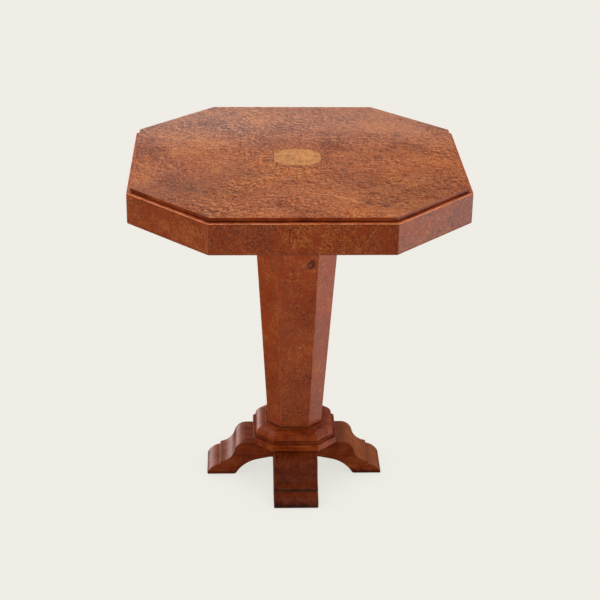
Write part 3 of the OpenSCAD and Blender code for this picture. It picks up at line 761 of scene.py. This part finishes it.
# the left-right rail has painted light on its upper faces towards +x
foot_wood_x = mahogany("foot_face_x", "x", tone=1.6, gloss=0.14, near_floor=True, lit_tops=0.7, step=TOE_STEP_X)
foot_worn_x = mahogany("foot_arris_x", "x", tone=1.15, gloss=0.14, edge=True, worn=0.8, near_floor=True,
                       lit_tops=0.7, step=TOE_STEP_X)
foot_wood_y = mahogany("foot_face_y", "y", tone=1.06, near_floor=True, cracks=FOOT_CRACKS, step=TOE_STEP_X)
foot_worn_y = mahogany("foot_arris_y", "y", edge=True, worn=0.5, near_floor=True, step=TOE_STEP_X)
pine_z = raw_wood("softwood_upright", "z", *PINE)
pine_x = raw_wood("softwood_blocks", "x", *PINE)
beech_y = raw_wood("beech_along", "y", *BEECH)
beech_x = raw_wood("beech_across", "x", *BEECH)
brass = old_metal("aged_brass", (0.66, 0.46, 0.18), (0.16, 0.095, 0.035), 0.30, 0.65)
iron = old_metal("dark_iron", (0.22, 0.21, 0.20), (0.055, 0.032, 0.022), 0.48, 0.80)


# ---------------------------------------------------------------- the tilting top

def wavy(x, y, amount):
    """A slow fall of an old board's face below its true plane."""
    lift = noise.noise(Vector((x * 9, y * 9, 3.1))) + 0.5 * noise.noise(Vector((x * 23, y * 23, 8.4)))
    return -amount * max(0.0, min(1.0, 0.5 + 0.6 * lift))


def top_sheet():
    """The veneer sheet: a canted ring with a hole for the medallion."""
    steps, along = 14, 9
    outer = canted_outline(BOARD_HI.x, BOARD_CANT, BOARD_ROUND, 4, along)
    inner = canted_outline(MEDAL_HI.x, MEDAL_CANT, MEDAL_ROUND, 4, along)
    rings = []
    for k in range(steps + 1):
        t = k / steps
        fade = min(1.0, 8 * t * (1 - t))  # the hollows die away at both rims
        flat = [a.lerp(b, t) for a, b in zip(inner, outer)]
        rings.append([(p.x, p.y, VENEER_HI.z + wavy(p.x, p.y, TOP_HOLLOWS) * fade) for p in flat])
    rings.append([(p.x, p.y, VENEER_LO.z) for p in outer])
    rings.append([(p.x, p.y, VENEER_LO.z) for p in inner])
    return loft(rings, closed=True)


def medallion():
    half = MEDAL_HI.x - MEDAL_GAP
    return loft([ring(half, MEDAL_CANT, z, MEDAL_ROUND) for z in (MEDAL_LO.z, MEDAL_HI.z - MEDAL_SUNK)])


def board():
    """The board, with a quirk round its edge where it rises from the apron's ledge."""
    ledge, quirk = RAIL_HI.z, RAIL_HI.z + QUIRK_HEIGHT
    profile = (  # inset and height, from below upwards
        (0.0, BOARD_LO.z), (0.0, ledge - 0.2 * MM), (QUIRK_DEPTH, ledge), (QUIRK_DEPTH, quirk - 0.6 * MM),
        (0.75 * MM, quirk), (0.25 * MM, quirk + 0.8 * MM), (0.0, quirk + 2 * MM), (0.0, BOARD_HI.z))
    return loft([
        ring(BOARD_HI.x - inset, BOARD_CANT - inset * INSET_CUT, z, BOARD_ROUND - inset)
        for inset, z in profile])


def apron_sheet(side):
    """One side's veneer and the numbers of the faces on its rubbed crest."""
    out, length = side_sizes(side, APRON_HI.x, APRON_CANT)
    foot = arc_points((-LOW_ROUND, APRON_LO.z + LOW_ROUND), LOW_ROUND, -LOW_TURN, 0, 4)
    crest = arc_points((-CREST_ROUND, APRON_HI.z - CREST_ROUND), CREST_ROUND, 0, 90, 4)
    profile = foot + crest + [(-SHEET, APRON_HI.z)]
    skin = strip([(out + a, z, length + a * MITRE) for a, z in profile], CORNER_ROUND)
    spans = len(skin[0]) // len(profile) - 1
    on_crest = range(len(foot), len(foot) + len(crest) - 1)
    return skin, {span * len(profile) + i for span in range(spans) for i in on_crest}


def apron_rail(side):
    """One side's rail, with the ledge that the board's edge stands behind, and the number
    of the ledge's face."""
    out, length = side_sizes(side, APRON_HI.x, APRON_CANT)
    wall = RAIL_HI.x - RAIL_LO.x
    lip = RAIL_HI.x - BOARD_HI.x
    foot = arc_points((LOW_ROUND - SHEET, RAIL_LO.z + LOW_ROUND), LOW_ROUND, 270, 180 + LOW_TURN, 4)
    profile = (*foot, (0, RAIL_HI.z), (lip, RAIL_HI.z), (lip, BOARD_LO.z), (wall, BOARD_LO.z),
               (wall, RAIL_LO.z))
    skin = strip([(out - SHEET - inset, z, length - (SHEET + inset) * MITRE) for inset, z in profile])
    return skin, {len(foot)}


piece("burl_top_sheet", top_sheet(), "tilting_top", ["top_veneer"],
      [burl_top, burl_top_edge], arris=0.3 * MM, segments=2)
piece("medallion_sheet", medallion(), "tilting_top", ["medallion_inlay"],
      [inlay, board_edge], arris=0.22 * MM, segments=2)
piece("top_board_body", board(), "tilting_top", ["top_board"],
      [board_edge, board_edge_worn], arris=0.15 * MM, segments=1)
for k, side_name in enumerate(SIDES):
    turn = math.radians(SIDE_TURN * k)
    sheet, crest_faces = apron_sheet(k)
    rail, ledge_face = apron_rail(k)
    piece(f"apron_sheet_{side_name}", sheet, "tilting_top", [f"apron_veneer_{side_name}"],
          [burl_side, burl_side_edge], turn=turn, arris=0.1 * MM, segments=1,
          shift=side_shift(k, APRON_GROUP), rubbed=crest_faces)
    # each rail's ledge face takes the second material: wear and painted light
    piece(f"apron_wood_{side_name}", rail, "tilting_top", [f"apron_rail_{side_name}"],
          [rail_wood, rail_worn_and_lit], turn=turn, arris=0.25 * MM, segments=2,
          shift=side_shift(k, RAIL_GROUP), rubbed=ledge_face)


# ---------------------------------------------------------------- the column and its collar

def column_sheet(side):
    """One facet's veneer, which widens upwards."""
    low, high = COLUMN_LO.z, COLUMN_HI.z
    section = []
    for inset, z in ((0, low), (0, high), (SHEET, high), (SHEET, low)):
        share = (z - COLUMN_FOOT_Z) / (high - COLUMN_FOOT_Z)
        half = COLUMN_FOOT + (COLUMN_HEAD - COLUMN_FOOT) * share
        out, length = side_sizes(side, half, 2 * half * COLUMN_CANT_SHARE)
        section.append((out - inset, z, length - inset * MITRE))
    return strip(section)


def collar():
    """The moulding: a strip, a quirk, an ovolo and a fillet."""
    half = COLLAR_HI.x
    cant = BAND_CANT - (BAND_HI.x - half) * INSET_CUT
    profile = [(0.0, COLLAR_LO.z), (0.0, STRIP_TOP), (STRIP_QUIRK, STRIP_TOP),
               (STRIP_QUIRK, STRIP_QUIRK_TOP)]
    profile += [(OVOLO - a, z) for a, z in arc_points((0, STRIP_TOP), OVOLO, OVOLO_START, 90, 10)]
    profile += [(OVOLO + FILLET_SET, STRIP_TOP + OVOLO), (OVOLO + FILLET_SET, COLLAR_HI.z)]
    return loft([ring(half - inset, cant - inset * INSET_CUT, z, COLLAR_ROUND, 3) for inset, z in profile])


def collar_band():
    return loft([ring(BAND_HI.x, BAND_CANT, z, BAND_ROUND, 3) for z in (BAND_LO.z, BAND_HI.z)])


for k, side_name in enumerate(SIDES):
    piece(f"column_sheet_{side_name}", column_sheet(k), "pedestal", [f"column_veneer_{side_name}"],
          [burl_column, burl_column_edge], turn=math.radians(SIDE_TURN * k),
          arris=0.25 * MM, segments=2, shift=side_shift(k, COLUMN_GROUP))
piece("collar_ovolo", collar(), "pedestal", ["collar_moulding"],
      [collar_wood, collar_worn], arris=0.5 * MM, segments=2)
piece("collar_plinth", collar_band(), "pedestal", ["collar_band"],
      [collar_wood, collar_worn], arris=1.2 * MM, segments=3)


# ---------------------------------------------------------------- the feet

def foot_outline(notch):
    """Side view of a rail from its middle, over the toe and back under the arch.
    notch says which half of the crossing is cut away: above or below."""
    top = FOOT_HI.z
    round_z = top - SHOULDER_R
    gap = SHOULDER_R + HOLLOW_R
    rise = math.radians(HOLLOW_RISE)
    hollow = (SHOULDER_X + gap * math.cos(rise), round_z + gap * math.sin(rise))
    step = math.degrees(math.acos((hollow[0] - TOE_STEP_X) / HOLLOW_R))
    nose_start = math.degrees(math.acos((TOE_STEP_X - NOSE_X) / NOSE_R))
    toe_turn = math.asin((TOE_ROUND + NOSE_DROP) / (NOSE_R - TOE_ROUND))
    toe = (NOSE_X + (NOSE_R - TOE_ROUND) * math.cos(toe_turn), TOE_ROUND)
    sole_turn = math.asin((SOLE_ROUND + ARCH_DROP) / (ARCH_R + SOLE_ROUND))
    sole = (ARCH_X + (ARCH_R + SOLE_ROUND) * math.cos(sole_turn), SOLE_ROUND)
    toe_turn, sole_turn = math.degrees(toe_turn), math.degrees(sole_turn)
    points = [(HALF_WIDTH, LAP_Z), (HALF_WIDTH, top)] if notch == "above" else []
    points += arc_points((SHOULDER_X, round_z), SHOULDER_R, 90, HOLLOW_RISE, SWEEP_STEPS)
    points += arc_points(hollow, HOLLOW_R, 180 + HOLLOW_RISE, 180 + step, SWEEP_STEPS)[1:]
    points += arc_points((NOSE_X, -NOSE_DROP), NOSE_R, nose_start, toe_turn, SWEEP_STEPS)
    points += arc_points(toe, TOE_ROUND, toe_turn, -90, ROUND_STEPS)[1:]
    points += arc_points(sole, SOLE_ROUND, 270, 180 + sole_turn, ROUND_STEPS)
    points += arc_points((ARCH_X, -ARCH_DROP), ARCH_R, sole_turn, 90 - CROWN_SLOPE, SWEEP_STEPS)[1:]
    bend_x, bend_z = points[-1]
    points.append((bend_x - (CROWN_Z - bend_z) / math.tan(math.radians(CROWN_SLOPE)), CROWN_Z))
    if notch == "below":
        points += [(HALF_WIDTH, CROWN_Z), (HALF_WIDTH, LAP_Z)]
    return points


def foot_rail(notch, axis):
    half_outline = foot_outline(notch)
    outline = half_outline + [(-a, z) for a, z in reversed(half_outline)]
    return prism(outline, -HALF_WIDTH, HALF_WIDTH, axis)


for node, notch, axis, woods in (
        ("foot_rail_front_back", "below", "x", [foot_wood_y, foot_worn_y]),
        ("foot_rail_left_right", "above", "y", [foot_wood_x, foot_worn_x])):
    piece(f"{node}_wood", foot_rail(notch, axis), "pedestal", [node], woods,
          arris=2.4 * MM, segments=3)

# ---------------------------------------------------------------- inner parts, kept from CAD

KEPT = {
    "corner_glue_blocks": pine_x, "bearer_left": beech_y, "bearer_right": beech_y,
    "bearer_screws": iron, "catch_plate": brass, "catch_bolt": brass, "catch_knob": brass,
    "catch_screws": brass, "keeper_plate": brass, "keeper_screws": brass, "head_block": beech_x,
    "pivot_pin_left": iron, "pivot_pin_right": iron, "column_board_front": pine_z,
    "column_board_back": pine_z, "column_board_left": pine_z, "column_board_right": pine_z,
    "column_head_plug": beech_x, "column_foot_plug": beech_x, "tie_rod": iron,
    "tie_rod_nuts": iron, "tie_rod_washers": iron,
}
for node, material in KEPT.items():
    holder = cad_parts[node]
    if not holder.material_slots:
        holder.data.materials.append(material)
    for slot in holder.material_slots:
        slot.link = "OBJECT"
        slot.material = material

# ---------------------------------------------------------------- floor, light and camera

BACKDROP = (0.863, 0.847, 0.784)
FLOOR_HALF = 14.0
FLOOR_DROP = 0.6 * MM
CONTACT_REACH, CONTACT_SHADE = 0.10, 0.80

WORLD_WHITE = (1.0, 0.985, 0.955)
WORLD_LOW, WORLD_HIGH = 0.07, 0.25
WORLD_LOBES = (  # direction, how many degrees off it is full and gone, strength
    ((0.95, 0.0, -0.24), 8, 30, 1.85),
    ((-0.258, 0.964, 0.01), 8, 23, 1.70),
    ((0.139, 0.988, 0.01), 8, 20, 0.60),
    ((-0.50, 0.86, 0.02), 4, 15, 1.50),
    ((-0.88, 0.42, 0.45), 8, 36, 1.60),
    ((0.90, 0.28, 0.45), 10, 42, 1.40),
    ((-0.05, 0.25, 0.97), 10, 46, 0.95),
    ((-0.75, -0.72, 0.05), 8, 34, 1.70),
    ((0.75, -0.72, 0.05), 8, 34, 1.02),
    ((0.0, -0.57, -0.82), 8, 26, 0.60),
)

SOFTBOX_PLACE, SOFTBOX_AIM = Vector((-1.7, -2.0, 2.3)), Vector((0, 0, 0.5))
SOFTBOX_SIZE, SOFTBOX_POWER = 1.4, 5
SOFTBOX_WHITE = (1.0, 0.985, 0.96)

CAMERA_PLACE = Vector((-0.119, -3.103, 1.832))
CAMERA_YAW, CAMERA_PITCH, CAMERA_ROLL = -2.37, 24.77, 0.825
CAMERA_LENS, CAMERA_SENSOR = 96.6, 36


def emptied(holder):
    """The node tree of a material or a world, with nothing in it yet."""
    holder.use_nodes = True
    holder.node_tree.nodes.clear()
    return Nodes(holder.node_tree)


def make_floor():
    """A glowing plane in the backdrop's colour, with a painted shadow round the feet by
    ambient occlusion, and clear from below."""
    mesh = bpy.data.meshes.new("floor")
    corners = ((-1, -1), (1, -1), (1, 1), (-1, 1))
    corners = [(x * FLOOR_HALF, y * FLOOR_HALF, -FLOOR_DROP) for x, y in corners]
    mesh.from_pydata(corners, [], [(0, 1, 2, 3)])
    material = bpy.data.materials.new("floor")
    nodes = emptied(material)
    open_sky = nodes.add("AmbientOcclusion", {"samples": 8}, Distance=CONTACT_REACH).outputs["AO"]
    shade = nodes.add("MapRange", None, Value=open_sky, To_Min=CONTACT_SHADE).outputs[0]
    glow = nodes.add("Emission", None, Color=nodes.mix(1.0, rgba(BACKDROP), shade, "MULTIPLY"))
    clear = nodes.add("BsdfTransparent")
    below = nodes.add("NewGeometry").outputs["Backfacing"]
    nodes.end("Material", below, glow.outputs[0], clear.outputs[0])
    mesh.materials.append(material)
    floor = bpy.data.objects.new("floor", mesh)
    bpy.context.scene.collection.objects.link(floor)
    floor.visible_diffuse = False
    floor.visible_glossy = False
    floor.visible_shadow = False


def make_world():
    """Dim light, brighter upwards, with smooth round patches: overhead, on both sides,
    behind, in front to the left and right, and a weak one from below. The camera sees the
    backdrop's colour instead."""
    world = bpy.data.worlds.new("studio")
    bpy.context.scene.world = world
    nodes = emptied(world)
    ray = nodes.add("TexCoord").outputs["Generated"]
    level = nodes.band(nodes.axis(ray, "Z"), 0.15, 1.0, WORLD_LOW, WORLD_HIGH)
    for direction, inner, outer, strength in WORLD_LOBES:
        close = nodes.measure("DOT_PRODUCT", ray, Vector(direction).normalized())
        edge, full = math.cos(math.radians(outer)), math.cos(math.radians(inner))
        patch = nodes.band(close, edge, full, 0.0, strength)
        level = nodes.value("ADD", level, patch)
    light = nodes.add("Background", None, Color=rgba(WORLD_WHITE), Strength=level)
    seen = nodes.add("Background", None, Color=rgba(BACKDROP), Strength=1.0)
    by_camera = nodes.add("LightPath").outputs["Is Camera Ray"]
    nodes.end("World", by_camera, light.outputs[0], seen.outputs[0])


def make_softbox():
    data = bpy.data.lights.new("softbox", "AREA")
    data.shape = "RECTANGLE"
    data.size = data.size_y = SOFTBOX_SIZE
    data.energy = SOFTBOX_POWER
    data.color = SOFTBOX_WHITE
    lamp = bpy.data.objects.new("softbox", data)
    bpy.context.scene.collection.objects.link(lamp)
    lamp.location = SOFTBOX_PLACE
    lamp.rotation_euler = (SOFTBOX_AIM - SOFTBOX_PLACE).to_track_quat("-Z", "Y").to_euler()
    lamp.visible_camera = False


def make_camera():
    """Stands where the photograph was taken from: 3.1 m in front, 1.8 m up."""
    yaw, pitch, roll = (math.radians(angle) for angle in (CAMERA_YAW, CAMERA_PITCH, CAMERA_ROLL))
    ahead = Vector((-math.sin(yaw) * math.cos(pitch), math.cos(yaw) * math.cos(pitch), -math.sin(pitch)))
    level = Vector((math.cos(yaw), math.sin(yaw), 0))
    right = level * math.cos(roll) + level.cross(ahead) * math.sin(roll)
    up = right.cross(ahead)
    data = bpy.data.cameras.new("camera")
    data.sensor_width = CAMERA_SENSOR
    data.lens = CAMERA_LENS
    camera = bpy.data.objects.new("camera", data)
    bpy.context.scene.collection.objects.link(camera)
    place = Matrix((right, up, -ahead)).transposed().to_4x4()
    place.translation = CAMERA_PLACE
    camera.matrix_world = place
    bpy.context.scene.camera = camera


make_floor()
make_world()
make_softbox()
make_camera()
bpy.context.scene.view_settings.view_transform = "Standard"
